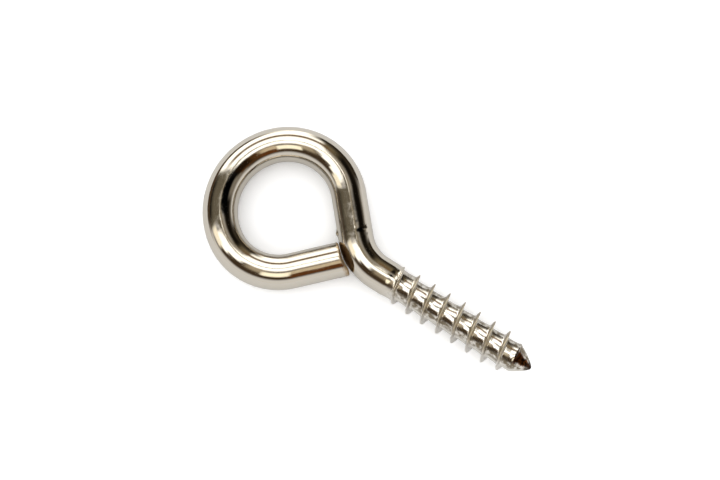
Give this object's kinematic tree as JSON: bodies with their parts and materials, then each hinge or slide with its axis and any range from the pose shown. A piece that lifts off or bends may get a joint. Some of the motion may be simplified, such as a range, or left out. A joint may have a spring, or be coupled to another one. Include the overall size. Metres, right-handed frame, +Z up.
{
  "type": "screw eye",
  "caption": "Wire screw eye: a pointed wood-screw thread and a bent neck that opens into a round closed eye, with its sheared end against the neck.",
  "frame": {"origin": "on the shank's axis, level with the middle of the eye", "axes": "+X along the shank towards the point, tipped up 0.74 degrees as the part lies at rest; +Z up, out of the flat of the eye; +Y to the side on which the neck leaves the shank"},
  "size_m": [0.0359, 0.0162, 0.0041],
  "materials": {
    "nickel_plate": "bright nickel plate over drawn steel wire, mirror-like with faint drawing lines"
  },
  "bodies": {
    "root": {"screw_eye": "nickel_plate"}
  },
  "joints": []
}
